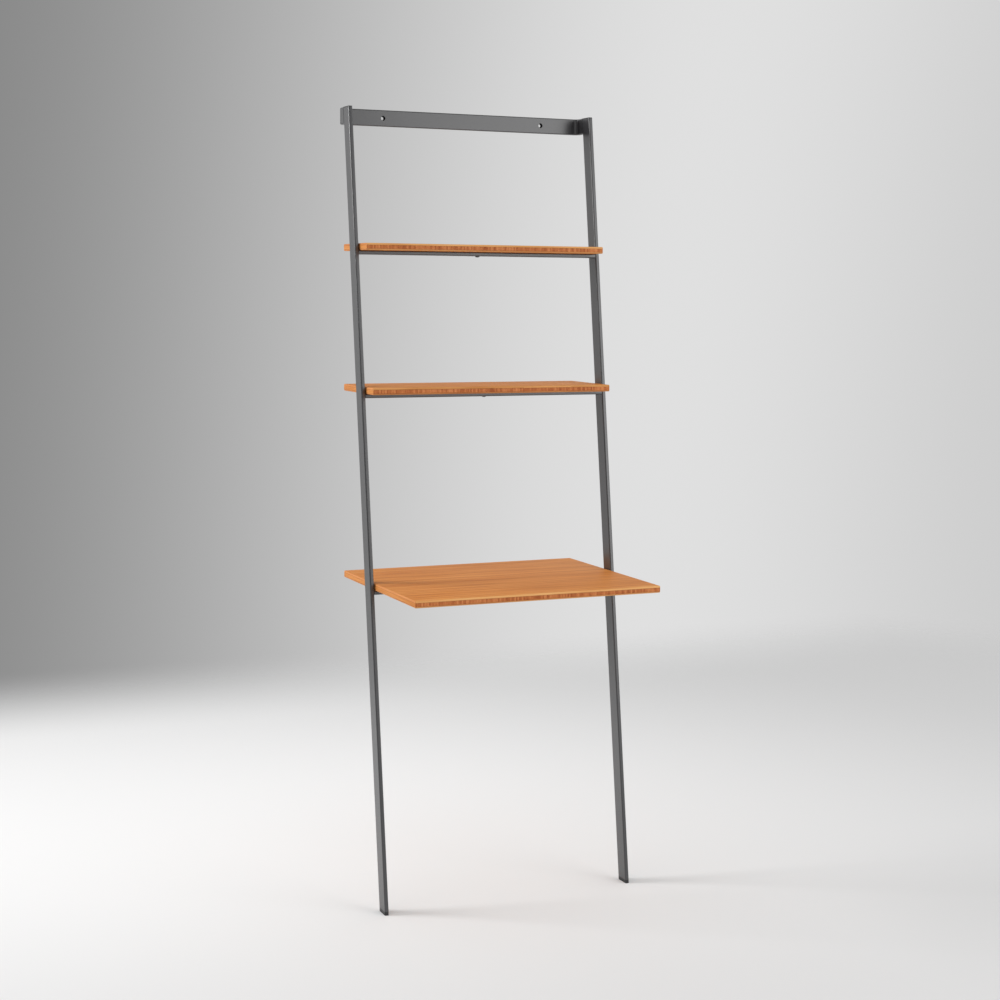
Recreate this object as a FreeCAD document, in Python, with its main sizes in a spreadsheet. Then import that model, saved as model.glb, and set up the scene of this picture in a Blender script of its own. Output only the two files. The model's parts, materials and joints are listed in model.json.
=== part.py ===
import FreeCAD, Part
import os
from enum import IntEnum
from math import asin, cos, pi, radians, sin, sqrt

import Sketcher

# Ladder desk: a slim steel ladder frame that leans back on a wall and carries a deep desk board
# and two shallower shelves. Millimetres; +Z is up, the wall is on the +Y side and the user sits
# on the -Y side. The origin is on the floor, midway across the frame and midway between the
# desk's front edge and the wall.

# Driving dimensions. Heights are measured from the floor and depths along Y.
SIZES = {
    # Frame
    "total_height": 1830,
    "frame_width": 622,
    "foot_to_wall": 326,
    "top_to_wall": 75,
    # Rectangular tube, shared by the legs, the wall bar and the crossbars
    "tube_depth": 38,
    "tube_width": 9.5,
    "tube_wall": 1.5,
    "tube_corner": 2.5,
    "wall_bar_bend": 18,
    "wall_hole_diameter": 7,
    "wall_head_hole_diameter": 11,
    "wall_hole_spacing": 406,
    # Leg ends
    "foot_pad_thickness": 2,
    "foot_cap_thickness": 6,
    "top_cap_thickness": 2,
    "plug_length": 20,
    "plug_clearance": 0.1,
    # Boards
    "board_thickness": 16,
    "board_edge_round": 2.5,
    "board_side_gap": 2.5,
    "board_wall_gap": 4,
    "top_shelf_height": 1517,
    "top_shelf_depth": 162,
    "middle_shelf_height": 1190,
    "middle_shelf_depth": 207,
    "desk_height": 745,
    "desk_depth": 476,
    # Flat bars under the boards
    "bearer_width": 25,
    "bearer_thickness": 6,
    "bearer_inset": 110,
    "bearer_rear_margin": 15,
    "bearer_front_margin": 60,
    "bearer_screw_margin": 15,
    "bearer_corner": 4,
    # Screws and threaded inserts
    "screw_diameter": 5,
    "screw_hole_clearance": 0.5,
    "screw_thread_clearance": 0.05,
    "screw_head_diameter": 11,
    "screw_head_height": 2.8,
    "screw_head_rim": 0.8,
    "screw_socket_size": 3,
    "screw_socket_depth": 1.6,
    "screw_engagement": 8,
    "insert_diameter": 8,
    "insert_length": 10,
}

# Values worked out from the driving dimensions. lean_run is how far a leg runs back for each
# millimetre that it rises, and leg_depth and leg_bore are the tube's depth and its bore's where
# a level plane cuts them. arm_reach and arm_middle are how far the wall bar's arms reach from
# its back run's centreline, to their lowest and to their middle height.
LAYOUT = {
    "wall_plane": "(sizes.desk_depth + sizes.board_wall_gap) / 2",
    "lean_run": "(sizes.foot_to_wall - sizes.top_to_wall) / sizes.total_height",
    "lean_stretch": "sqrt(1 + lean_run ^ 2)",
    "tube_bore": "sizes.tube_width - 2 * sizes.tube_wall",
    "tube_bore_depth": "sizes.tube_depth - 2 * sizes.tube_wall",
    "leg_depth": "sizes.tube_depth * lean_stretch",
    "leg_bore": "tube_bore_depth * lean_stretch",
    "leg_centre": "(sizes.frame_width - sizes.tube_width) / 2",
    "arm_top": "sizes.top_to_wall - leg_depth - sizes.tube_width / 2",
    "arm_reach": "arm_top + lean_run * sizes.tube_depth",
    "arm_middle": "(arm_top + arm_reach) / 2",
    "span": "sizes.frame_width - 2 * sizes.tube_width",
    "leg_bottom": "sizes.foot_pad_thickness + sizes.foot_cap_thickness",
    "leg_top": "sizes.total_height - sizes.top_cap_thickness",
    "board_back": "wall_plane - sizes.board_wall_gap",
    "bearer_centre": "span / 2 - sizes.bearer_inset",
    "screw_hole": "sizes.screw_diameter + sizes.screw_hole_clearance",
    "shank_radius": "sizes.screw_diameter / 2 - sizes.screw_thread_clearance",
}

BOARDS = ("top_shelf", "middle_shelf", "desk")
SIDES = {"left": -1, "right": 1}
TOLERANCE = 1e-4


class Spot(IntEnum):
    """Sketcher's numbers for the points of a line, an arc or a circle."""

    START = 1
    END = 2
    CENTRE = 3


class Axis(IntEnum):
    """Sketcher's numbers for a sketch's own axes."""

    X = -1
    Y = -2


ORIGIN = (Axis.X, Spot.START)


def add_sheet(doc, name, values, formula):
    """A spreadsheet with one aliased cell for each value, beside a cell with its name."""
    sheet = doc.addObject("Spreadsheet::Sheet", name)
    for row, (alias, value) in enumerate(values.items(), start=1):
        sheet.set(f"A{row}", alias)
        sheet.set(f"B{row}", f"={value}" if formula else str(value))
        sheet.setAlias(f"B{row}", alias)
        doc.recompute()


def leg_front(height):
    """Formula for a leg's front face, along Y, at a height above the floor."""
    return f"(layout.wall_plane - sizes.foot_to_wall + layout.lean_run * ({height}))"


def place(thing, x="0", y="0", z="0", turned=False):
    """Binds a thing's place to the sheets, turned half round the vertical if asked."""
    half_turn = FreeCAD.Rotation(180, 0, 0) if turned else FreeCAD.Rotation()
    thing.Placement = FreeCAD.Placement(FreeCAD.Vector(), half_turn)
    for axis, formula in (("x", x), ("y", y), ("z", z)):
        thing.setExpression(f".Placement.Base.{axis}", formula)


# Sketches


def add_body(doc, name):
    """A new PartDesign body whose label is the piece's name."""
    body = doc.addObject("PartDesign::Body", name)
    body.Label = name
    return body


def add_sketch(body, name, role, **offsets):
    """A sketch on one of the body's own origin planes, moved in its own axes if asked."""
    sketch = body.newObject("Sketcher::SketchObject", f"{body.Name}_{name}")
    plane = next(p for p in body.Origin.OriginFeatures if p.Role == role)
    sketch.AttachmentSupport = (plane, [""])
    sketch.MapMode = "FlatFace"
    for axis, formula in offsets.items():
        sketch.setExpression(f".AttachmentOffset.Base.{axis}", formula)
    return sketch


def value_of(sketch, formula):
    """What a formula gives now. Sketches are drawn where their dimensions will hold them."""
    return float(sketch.evalExpression(formula))


def constrain(sketch, name, kind, *where, formula):
    """Adds a dimension to a sketch and binds it to a formula."""
    value = value_of(sketch, formula)
    index = sketch.addConstraint(Sketcher.Constraint(kind, *where, value))
    sketch.renameConstraint(index, name)
    sketch.setExpression(f"Constraints.{name}", formula)


def tie(sketch, kind, *where):
    """Adds a geometric constraint to a sketch."""
    sketch.addConstraint(Sketcher.Constraint(kind, *where))


def add_polygon(sketch, corners):
    """A closed run of lines through corners. Gives the index of the first line."""
    first = sketch.GeometryCount
    points = [FreeCAD.Vector(x, y, 0) for x, y in corners]
    for start, end in zip(points, points[1:] + points[:1]):
        sketch.addGeometry(Part.LineSegment(start, end))
    for line in range(len(points)):
        follower = first + (line + 1) % len(points)
        tie(sketch, "Coincident", first + line, Spot.END, follower, Spot.START)
    return first


def add_rectangle(sketch, name, width, height):
    """A rectangle centred on the sketch's origin, its two sizes bound to formulas."""
    x, y = value_of(sketch, width) / 2, value_of(sketch, height) / 2
    first = add_polygon(sketch, [(-x, -y), (x, -y), (x, y), (-x, y)])
    for line, kind in enumerate(("Horizontal", "Vertical", "Horizontal", "Vertical")):
        tie(sketch, kind, first + line)
    tie(sketch, "Symmetric", first, Spot.START, first + 1, Spot.END, *ORIGIN)
    constrain(sketch, f"{name}_width", "DistanceX", first, Spot.START, first, Spot.END, formula=width)
    side = first + 1
    constrain(sketch, f"{name}_height", "DistanceY", side, Spot.START, side, Spot.END, formula=height)
    return first


def add_circle(sketch, name, diameter, x="0"):
    """A circle drawn on the sketch's X axis, its diameter bound to a formula."""
    centre = FreeCAD.Vector(value_of(sketch, x), 0, 0)
    radius = value_of(sketch, diameter) / 2
    circle = sketch.addGeometry(Part.Circle(centre, FreeCAD.Vector(0, 0, 1), radius))
    constrain(sketch, f"{name}_diameter", "Diameter", circle, formula=diameter)
    return circle


# Features


def pad(body, sketch, length, leaning=False, down=False, midplane=False):
    """Pads a sketch by a formula's length, straight or along the lean of the legs."""
    feature = body.newObject("PartDesign::Pad", f"{sketch.Name}_pad")
    feature.Profile = sketch
    feature.setExpression("Length", length)
    if leaning:
        feature.UseCustomVector = True
        feature.Direction = FreeCAD.Vector(0, 0, 1)
        feature.setExpression("Direction.y", "layout.lean_run")
        feature.AlongSketchNormal = True
    feature.Reversed = down
    feature.Midplane = midplane
    body.Document.recompute()
    return feature


def pocket(body, sketch, depth=None):
    """Cuts a sketch's outline upwards by a formula's depth, or right through both ways.

    Stops if nothing is cut.
    """
    volume = body.Shape.Volume
    feature = body.newObject("PartDesign::Pocket", f"{sketch.Name}_pocket")
    feature.Profile = sketch
    if depth is None:
        feature.Type = "ThroughAll"
        feature.Midplane = True
    else:
        feature.setExpression("Length", depth)
        feature.Reversed = True
    body.Document.recompute()
    if body.Shape.Volume >= volume:
        raise RuntimeError(f"{feature.Name} cuts nothing")


def is_along(edge, direction):
    """True if an edge is straight and runs along a direction."""
    if edge.Curve.TypeId != "Part::GeomLine":
        return False
    return edge.tangentAt(edge.FirstParameter).cross(direction).Length < TOLERANCE


def lies_at(edge, axis, distance):
    """True if an edge lies in a plane at a distance from the middle, on either side."""
    return all(abs(abs(getattr(v, axis)) - distance) < TOLERANCE for v in edge.Vertexes)


def round_edges(body, base, picked, radius):
    """Rounds the edges of a feature that a test picks."""
    names = [f"Edge{i}" for i, edge in enumerate(base.Shape.Edges, start=1) if picked(edge)]
    feature = body.newObject("PartDesign::Fillet", f"{base.Name}_round")
    feature.Base = (base, names)
    feature.setExpression("Radius", radius)
    body.Document.recompute()
    return feature


# Legs, their plugs and their feet


def add_leg_outline(sketch):
    """The outline of a leg where a level plane cuts it."""
    add_rectangle(sketch, "outline", "sizes.tube_width", "layout.leg_depth")


def pad_leg_outline(body, sketch, length):
    """Pads a sketch that has a leg's outline along the lean, and rounds its long edges."""
    solid = pad(body, sketch, length, leaning=True)
    sizes, layout = body.Document.sizes, body.Document.layout
    lean = FreeCAD.Vector(0, layout.lean_run, 1).normalize()

    def picked(edge):
        return is_along(edge, lean) and lies_at(edge, "X", sizes.tube_width / 2)

    return round_edges(body, solid, picked, "sizes.tube_corner")


def place_on_leg(thing, side, height):
    """Puts a piece whose outline is a leg's at a height on that leg."""
    x = f"{SIDES[side]} * layout.leg_centre"
    place(thing, x, f"{leg_front(height)} + layout.leg_depth / 2", height)


def make_leg(doc, side):
    """A leg: a rectangular tube that leans back, cut level at both ends."""
    body = add_body(doc, f"{side}_leg")
    section = add_sketch(body, "section", "XY_Plane")
    add_leg_outline(section)
    add_rectangle(section, "bore", "layout.tube_bore", "layout.leg_bore")
    pad_leg_outline(body, section, "layout.leg_top - layout.leg_bottom")
    place_on_leg(body, side, "layout.leg_bottom")
    return body


def add_plug(body, down, shift_y="0", shift_z="0"):
    """The part of an end cap that fills the bore of a leg."""
    sketch = add_sketch(body, "plug", "XY_Plane", y=shift_y, z=shift_z)
    play = "2 * sizes.plug_clearance"
    add_rectangle(sketch, "plug", f"layout.tube_bore - {play}", f"layout.leg_bore - {play}")
    pad(body, sketch, "sizes.plug_length", leaning=True, down=down)


def make_top_cap(doc, side):
    """The cap on top of a leg: a plate as large as the leg, with a plug below it."""
    body = add_body(doc, f"{side}_leg_top_cap")
    plate = add_sketch(body, "plate", "XY_Plane")
    add_leg_outline(plate)
    pad_leg_outline(body, plate, "sizes.top_cap_thickness")
    add_plug(body, down=True)
    place_on_leg(body, side, "layout.leg_top")
    return body


def make_foot_cap(doc, side):
    """The cap under a leg: a plate as large as the leg, with a plug above it."""
    body = add_body(doc, f"{side}_foot_cap")
    plate = add_sketch(body, "plate", "XY_Plane")
    add_leg_outline(plate)
    thickness = "sizes.foot_cap_thickness"
    pad_leg_outline(body, plate, thickness)
    add_plug(body, down=False, shift_y=f"layout.lean_run * {thickness}", shift_z=thickness)
    place_on_leg(body, side, "sizes.foot_pad_thickness")
    return body


def make_foot_pad(doc, side):
    """The soft pad under a foot cap, which stands on the floor."""
    body = add_body(doc, f"{side}_foot_pad")
    outline = add_sketch(body, "outline", "XY_Plane")
    add_leg_outline(outline)
    pad_leg_outline(body, outline, "sizes.foot_pad_thickness")
    place_on_leg(body, side, "0")
    return body


# Wall bar


def add_bend_path(sketch):
    """The wall bar's centreline: an arm, a bend, the back run on the X axis, and so back."""
    bend_radius = "sizes.wall_bar_bend - sizes.tube_width / 2"
    bend = value_of(sketch, bend_radius)
    half, reach = value_of(sketch, "layout.leg_centre"), value_of(sketch, "layout.arm_reach")
    on_arc = bend * (1 - sqrt(0.5))
    left_end, left_bend = FreeCAD.Vector(-half, reach), FreeCAD.Vector(-half, bend)
    left_middle, left_back = FreeCAD.Vector(on_arc - half, on_arc), FreeCAD.Vector(bend - half, 0)
    right_back, right_middle = FreeCAD.Vector(half - bend, 0), FreeCAD.Vector(half - on_arc, on_arc)
    right_bend, right_end = FreeCAD.Vector(half, bend), FreeCAD.Vector(half, reach)
    sketch.addGeometry(Part.LineSegment(left_end, left_bend))
    sketch.addGeometry(Part.Arc(left_bend, left_middle, left_back))
    sketch.addGeometry(Part.LineSegment(left_back, right_back))
    sketch.addGeometry(Part.Arc(right_back, right_middle, right_bend))
    sketch.addGeometry(Part.LineSegment(right_bend, right_end))
    pieces = left_arm, left_arc, back_run, right_arc, right_arm = tuple(range(5))
    for piece, follower in zip(pieces, pieces[1:]):
        tie(sketch, "Tangent", piece, Spot.END, follower, Spot.START)
    tie(sketch, "PointOnObject", back_run, Spot.START, Axis.X)
    tie(sketch, "Horizontal", back_run)
    tie(sketch, "Vertical", left_arm)
    tie(sketch, "Vertical", right_arm)
    tie(sketch, "Equal", left_arc, right_arc)
    ends = (left_arm, Spot.START, right_arm, Spot.END)
    tie(sketch, "Symmetric", *ends, Axis.Y)
    constrain(sketch, "width", "DistanceX", *ends, formula="2 * layout.leg_centre")
    reach_line = (*ORIGIN, left_arm, Spot.START)
    constrain(sketch, "reach", "DistanceY", *reach_line, formula="layout.arm_reach")
    constrain(sketch, "bend", "Radius", left_arc, formula=bend_radius)


def trim_arms(body):
    """Cuts the arms' ends to the slope of the legs' backs."""
    sketch = add_sketch(body, "trim", "YZ_Plane")
    height = "sizes.tube_depth"
    run = f"layout.lean_run * {height}"
    at_top, at_bottom = f"layout.arm_middle - {run}", f"layout.arm_middle + {run}"
    beyond = f"layout.arm_reach + {height}"
    top, end = value_of(sketch, height), value_of(sketch, beyond)
    high, low = (value_of(sketch, at_top), top), (value_of(sketch, at_bottom), -top)
    slope = add_polygon(sketch, [high, low, (end, -top), (end, top)])
    bottom_side, end_side, top_side = range(slope + 1, slope + 4)
    tie(sketch, "Horizontal", bottom_side)
    tie(sketch, "Vertical", end_side)
    tie(sketch, "Horizontal", top_side)
    for name, kind, where, formula in (
        ("rise", "DistanceY", (*ORIGIN, slope, Spot.START), height),
        ("drop", "DistanceY", (slope, Spot.END, *ORIGIN), height),
        ("at_top", "DistanceX", (*ORIGIN, slope, Spot.START), at_top),
        ("at_bottom", "DistanceX", (*ORIGIN, slope, Spot.END), at_bottom),
        ("beyond", "DistanceX", (*ORIGIN, end_side, Spot.START), beyond),
    ):
        constrain(sketch, name, kind, *where, formula=formula)
    pocket(body, sketch)


def drill_wall_holes(body):
    """Drills the two holes for the wall screws, with a wider one in front for each screw's head."""
    drill_pair(body, "wall_holes", "sizes.wall_hole_diameter")
    width = "sizes.tube_width"
    drill_pair(body, "wall_head_holes", "sizes.wall_head_hole_diameter", width, z=f"-{width}")


def drill_pair(body, name, diameter, depth=None, **offsets):
    """Drills two equal holes in the back run, right through or by a formula's depth."""
    sketch = add_sketch(body, name, "XZ_Plane", **offsets)
    spacing = "sizes.wall_hole_spacing"
    left = add_circle(sketch, "left", diameter, x=f"-{spacing} / 2")
    right = add_circle(sketch, "right", diameter, x=f"{spacing} / 2")
    tie(sketch, "PointOnObject", left, Spot.CENTRE, Axis.X)
    centres = (left, Spot.CENTRE, right, Spot.CENTRE)
    tie(sketch, "Symmetric", *centres, Axis.Y)
    constrain(sketch, "spacing", "DistanceX", *centres, formula=spacing)
    pocket(body, sketch, depth)


def make_wall_bar(doc):
    """The bar that is screwed to the wall: a tube bent to a U, its arms cut to the legs."""
    body = add_body(doc, "wall_bar")
    path = add_sketch(body, "path", "XY_Plane")
    add_bend_path(path)
    section = add_sketch(body, "section", "XZ_Plane", x="-layout.leg_centre", z="-layout.arm_reach")
    add_rectangle(section, "outline", "sizes.tube_width", "sizes.tube_depth")
    add_rectangle(section, "bore", "layout.tube_bore", "layout.tube_bore_depth")
    doc.recompute()
    tube = body.newObject("PartDesign::AdditivePipe", "wall_bar_tube")
    tube.Profile = section
    tube.Spine = path
    doc.recompute()
    sizes, layout = doc.sizes, doc.layout

    def picked(edge):
        across = all(abs(v.Y - layout.arm_reach) < TOLERANCE for v in edge.Vertexes)
        return lies_at(edge, "Z", sizes.tube_depth / 2) and not across

    round_edges(body, tube, picked, "sizes.tube_corner")
    trim_arms(body)
    drill_wall_holes(body)
    y = "layout.wall_plane - sizes.tube_width / 2"
    place(body, y=y, z="sizes.total_height - sizes.tube_depth / 2", turned=True)
    return body


# What carries the boards


def board_bottom(board):
    """Formula for the height of a board's underside."""
    return f"(sizes.{board}_height - sizes.board_thickness)"


def crossbar_front(board):
    """Formula for the front of a board's crossbar, along Y. Its top front edge meets the legs'."""
    return leg_front(board_bottom(board))


def make_crossbar(doc, board):
    """The tube that lies flat between the legs, under a board, with a hole for a screw."""
    body = add_body(doc, f"{board}_crossbar")
    section = add_sketch(body, "section", "YZ_Plane")
    add_rectangle(section, "outline", "sizes.tube_depth", "sizes.tube_width")
    add_rectangle(section, "bore", "layout.tube_bore_depth", "layout.tube_bore")
    tube = pad(body, section, "layout.span", midplane=True)
    sizes = doc.sizes

    def picked(edge):
        outside = lies_at(edge, "Z", sizes.tube_width / 2)
        return is_along(edge, FreeCAD.Vector(1, 0, 0)) and outside

    round_edges(body, tube, picked, "sizes.tube_corner")
    hole = add_sketch(body, "screw_hole", "XY_Plane")
    circle = add_circle(hole, "hole", "layout.screw_hole")
    tie(hole, "Coincident", circle, Spot.CENTRE, *ORIGIN)
    pocket(body, hole)
    y = f"{crossbar_front(board)} + sizes.tube_depth / 2"
    place(body, y=y, z=f"{board_bottom(board)} - sizes.tube_width / 2")
    return body


def make_bearer(doc, name, board, x, near, far, turned):
    """A flat bar under a board, welded to the crossbar at one end, with a screw at the other.

    near and far are formulas for the Y of its welded end and of its free end.
    """
    length = f"abs({far} - ({near}))"
    body = add_body(doc, name)
    outline = add_sketch(body, "outline", "XY_Plane")
    sides = add_rectangle(outline, "bar", "sizes.bearer_width", length)
    circle = add_circle(outline, "hole", "layout.screw_hole")
    tie(outline, "PointOnObject", circle, Spot.CENTRE, Axis.Y)
    margin = "sizes.bearer_screw_margin"
    where = (circle, Spot.CENTRE, sides + 2, Spot.START)
    constrain(outline, "screw_margin", "DistanceY", *where, formula=margin)
    bar = pad(body, outline, "sizes.bearer_thickness")

    def picked(edge):
        on_side = lies_at(edge, "X", doc.sizes.bearer_width / 2)
        at_free_end = all(v.Y > 0 for v in edge.Vertexes)
        return is_along(edge, FreeCAD.Vector(0, 0, 1)) and on_side and at_free_end

    round_edges(body, bar, picked, "sizes.bearer_corner")
    z = f"{board_bottom(board)} - sizes.bearer_thickness"
    place(body, x, f"({near} + {far}) / 2", z, turned)
    return body


def rear_end():
    """Formula for the free end of every rear bearer, along Y."""
    return "(layout.board_back - sizes.bearer_rear_margin)"


def front_end():
    """Formula for the free end of the desk's front bearers, along Y."""
    return "(layout.board_back - sizes.desk_depth + sizes.bearer_front_margin)"


def make_bearers(doc, board):
    """The flat bars behind a board's crossbar and, under the desk, in front of it too."""
    front = crossbar_front(board)
    back = f"({front} + sizes.tube_depth)"
    pieces = []
    for side, sign in SIDES.items():
        x = f"{sign} * layout.bearer_centre"
        name = f"{board}_rear_{side}_bearer"
        pieces.append(make_bearer(doc, name, board, x, back, rear_end(), turned=False))
        if board == "desk":
            name = f"{board}_front_{side}_bearer"
            pieces.append(make_bearer(doc, name, board, x, front, front_end(), turned=True))
    return pieces


# Screws and threaded inserts


def add_screw_half(sketch, length):
    """Half of a screw's outline: its head below the X axis and its shank up the Y axis."""
    head_height, rim_height = "sizes.screw_head_height", "sizes.screw_head_rim"
    head_radius, shank_radius = "sizes.screw_head_diameter / 2", "layout.shank_radius"
    formulas = (head_height, rim_height, head_radius, shank_radius, length)
    head, rim, wide, narrow, top = (value_of(sketch, formula) for formula in formulas)
    dome_rise = head - rim
    dome_radius = (wide**2 + dome_rise**2) / (2 * dome_rise)
    centre = FreeCAD.Vector(0, dome_radius - head, 0)
    circle = Part.Circle(centre, FreeCAD.Vector(0, 0, 1), dome_radius)
    sketch.addGeometry(Part.ArcOfCircle(circle, -pi / 2, asin(wide / dome_radius) - pi / 2))
    corners = [(wide, -rim), (wide, 0), (narrow, 0), (narrow, top), (0, top), (0, -head)]
    points = [FreeCAD.Vector(x, y, 0) for x, y in corners]
    for start, end in zip(points, points[1:]):
        sketch.addGeometry(Part.LineSegment(start, end))
    pieces = dome, rim_side, seat, shank, tip, axis = tuple(range(6))
    for piece, follower in zip(pieces, pieces[1:] + pieces[:1]):
        tie(sketch, "Coincident", piece, Spot.END, follower, Spot.START)
    for upright, level in ((rim_side, seat), (shank, tip)):
        tie(sketch, "Vertical", upright)
        tie(sketch, "Horizontal", level)
    for piece, spot in ((dome, Spot.START), (dome, Spot.CENTRE), (axis, Spot.START)):
        tie(sketch, "PointOnObject", piece, spot, Axis.Y)
    tie(sketch, "PointOnObject", seat, Spot.START, Axis.X)
    for name, kind, where, formula in (
        ("head_height", "DistanceY", (dome, Spot.START, *ORIGIN), head_height),
        ("rim_height", "DistanceY", (rim_side, Spot.START, *ORIGIN), rim_height),
        ("head_radius", "DistanceX", (*ORIGIN, seat, Spot.START), head_radius),
        ("shank_radius", "DistanceX", (*ORIGIN, seat, Spot.END), shank_radius),
        ("length", "DistanceY", (*ORIGIN, tip, Spot.START), length),
    ):
        constrain(sketch, name, kind, *where, formula=formula)


def add_hexagon(sketch, name, across_flats):
    """A hexagon round the sketch's origin, its size across its flats bound to a formula."""
    radius = value_of(sketch, across_flats) / sqrt(3)
    corners = [(radius * cos(radians(a)), radius * sin(radians(a))) for a in range(0, 360, 60)]
    first = add_polygon(sketch, corners)
    sides = range(first, first + len(corners))
    circle = add_circle(sketch, name, f"2 * {across_flats} / sqrt(3)")
    sketch.toggleConstruction(circle)
    tie(sketch, "Coincident", circle, Spot.CENTRE, *ORIGIN)
    for side in sides:
        tie(sketch, "PointOnObject", side, Spot.START, circle)
    for side in sides[1:-1]:
        tie(sketch, "Equal", first, side)
    tie(sketch, "PointOnObject", first, Spot.START, Axis.X)


def make_screw(doc, name, grip):
    """A button-head screw, its head down and its shank up from the origin.

    grip is a formula for the thickness that the screw clamps.
    """
    body = add_body(doc, name)
    half = add_sketch(body, "half", "XZ_Plane")
    add_screw_half(half, f"{grip} + sizes.screw_engagement")
    turned = body.newObject("PartDesign::Revolution", f"{name}_turned")
    turned.Profile = half
    turned.ReferenceAxis = (half, ["V_Axis"])
    doc.recompute()
    socket = add_sketch(body, "socket", "XY_Plane", z="-sizes.screw_head_height")
    add_hexagon(socket, "socket", "sizes.screw_socket_size")
    pocket(body, socket, "sizes.screw_socket_depth")
    return body


def make_insert(doc):
    """A threaded insert: a sleeve that stands up from the origin."""
    body = add_body(doc, "threaded_insert")
    ring = add_sketch(body, "ring", "XY_Plane")
    for name, diameter in (("outside", "sizes.insert_diameter"), ("bore", "sizes.screw_diameter")):
        circle = add_circle(ring, name, diameter)
        tie(ring, "Coincident", circle, Spot.CENTRE, *ORIGIN)
    pad(body, ring, "sizes.insert_length")
    return body


def screw_spots(board):
    """Where a board's screws stand, as formulas for X and Y: crossbar first, then bearers."""
    crossbar = [("0", f"{crossbar_front(board)} + sizes.tube_depth / 2")]
    rear = f"{rear_end()} - sizes.bearer_screw_margin"
    front = f"{front_end()} + sizes.bearer_screw_margin"
    ends = [rear, front] if board == "desk" else [rear]
    bearers = [(f"{sign} * layout.bearer_centre", y) for y in ends for sign in SIDES.values()]
    return crossbar, bearers


def make_copies(doc, name, template, spots, height):
    """Linked copies of a fastener at the given spots, all at one height."""
    copies = []
    for number, (x, y) in enumerate(spots, start=1):
        copy = doc.addObject("App::Link", f"{name}_{number}")
        copy.LinkedObject = template
        place(copy, x, y, height)
        copies.append(copy)
    return copies


def group(doc, name, members):
    """Separate solids that share one node."""
    compound = doc.addObject("Part::Compound", name)
    compound.Label = name
    compound.Links = members
    return compound


def make_fasteners(doc, board, long_screw, short_screw, insert):
    """A board's screws and the inserts that they are driven into."""
    crossbar, bearers = screw_spots(board)
    bottom = board_bottom(board)
    under_crossbar = f"{bottom} - sizes.tube_width"
    under_bearer = f"{bottom} - sizes.bearer_thickness"
    screws = make_copies(doc, f"{board}_crossbar_screw", long_screw, crossbar, under_crossbar)
    screws += make_copies(doc, f"{board}_bearer_screw", short_screw, bearers, under_bearer)
    inserts = make_copies(doc, f"{board}_insert", insert, crossbar + bearers, bottom)
    return [group(doc, f"{board}_screws", screws), group(doc, f"{board}_inserts", inserts)]


# Boards


def make_board(doc, board):
    """A board between the legs, its edges softened, with a blind hole for each insert."""
    depth = f"sizes.{board}_depth"
    blank = add_body(doc, f"{board}_blank")
    outline = add_sketch(blank, "outline", "XY_Plane")
    add_rectangle(outline, "board", "layout.span - 2 * sizes.board_side_gap", depth)
    slab = pad(blank, outline, "sizes.board_thickness")
    round_edges(blank, slab, lambda edge: True, "sizes.board_edge_round")
    place(blank, y=f"layout.board_back - {depth} / 2", z=board_bottom(board))
    holes = []
    crossbar, bearers = screw_spots(board)
    for number, (x, y) in enumerate(crossbar + bearers, start=1):
        hole = doc.addObject("Part::Cylinder", f"{board}_insert_hole_{number}")
        hole.setExpression("Radius", "sizes.insert_diameter / 2")
        hole.setExpression("Height", "sizes.insert_length")
        place(hole, x, y, board_bottom(board))
        holes.append(hole)
    drilled = doc.addObject("Part::Cut", f"{board}_board")
    drilled.Label = f"{board}_board"
    drilled.Base = blank
    drilled.Tool = group(doc, f"{board}_insert_holes", holes)
    return drilled


# Whole object


def make_frame(doc):
    """The legs with their plugs and feet, and the wall bar."""
    pieces = []
    for side in SIDES:
        for make in (make_leg, make_top_cap, make_foot_cap, make_foot_pad):
            pieces.append(make(doc, side))
    pieces.append(make_wall_bar(doc))
    return pieces


def make_boards(doc):
    """Each board with its crossbar, its bearers and its fasteners."""
    long_screw = make_screw(doc, "crossbar_screw", "sizes.tube_width")
    short_screw = make_screw(doc, "bearer_screw", "sizes.bearer_thickness")
    insert = make_insert(doc)
    pieces = []
    for board in BOARDS:
        pieces.append(make_crossbar(doc, board))
        pieces += make_bearers(doc, board)
        pieces.append(make_board(doc, board))
        pieces += make_fasteners(doc, board, long_screw, short_screw, insert)
    return pieces


def check(doc, pieces):
    """Stops if an object failed or a piece isn't made of sound solids."""
    for thing in doc.Objects:
        if {"Invalid", "Error"} & set(thing.State):
            raise RuntimeError(f"{thing.Name} failed: {thing.State}")
    for piece in pieces:
        shape = piece.Shape
        if shape.isNull() or not shape.isValid() or not shape.Solids:
            raise RuntimeError(f"{piece.Label} has no sound shape")


def main():
    """Builds every piece, checks it and writes it to parts/."""
    doc = FreeCAD.newDocument("ladder_desk")
    add_sheet(doc, "sizes", SIZES, formula=False)
    add_sheet(doc, "layout", LAYOUT, formula=True)
    pieces = make_frame(doc) + make_boards(doc)
    doc.recompute()
    check(doc, pieces)
    os.makedirs("parts", exist_ok=True)
    for piece in pieces:
        piece.Shape.exportStep(f"parts/{piece.Label}.step")
        count, volume = len(piece.Shape.Solids), piece.Shape.Volume
        print(f"{piece.Label}: {count} solid(s), {volume:.0f} cubic millimetres")


main()
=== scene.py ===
"""The ladder desk dressed: bamboo boards, powder-coated steel frame, feet, fasteners and studio.

Every length is in metres, in the desk's own frame: +Z is up, +Y points to the wall, the floor is
at z = 0 and the user sits on the -Y side.
"""
import json
import logging
from contextlib import contextmanager
from dataclasses import dataclass, field, replace
from enum import Enum
from math import cos, pi, radians, sin
from typing import Callable, Iterator, Sequence, Union

import bmesh
import bpy
from mathutils import Matrix, Vector


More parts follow.
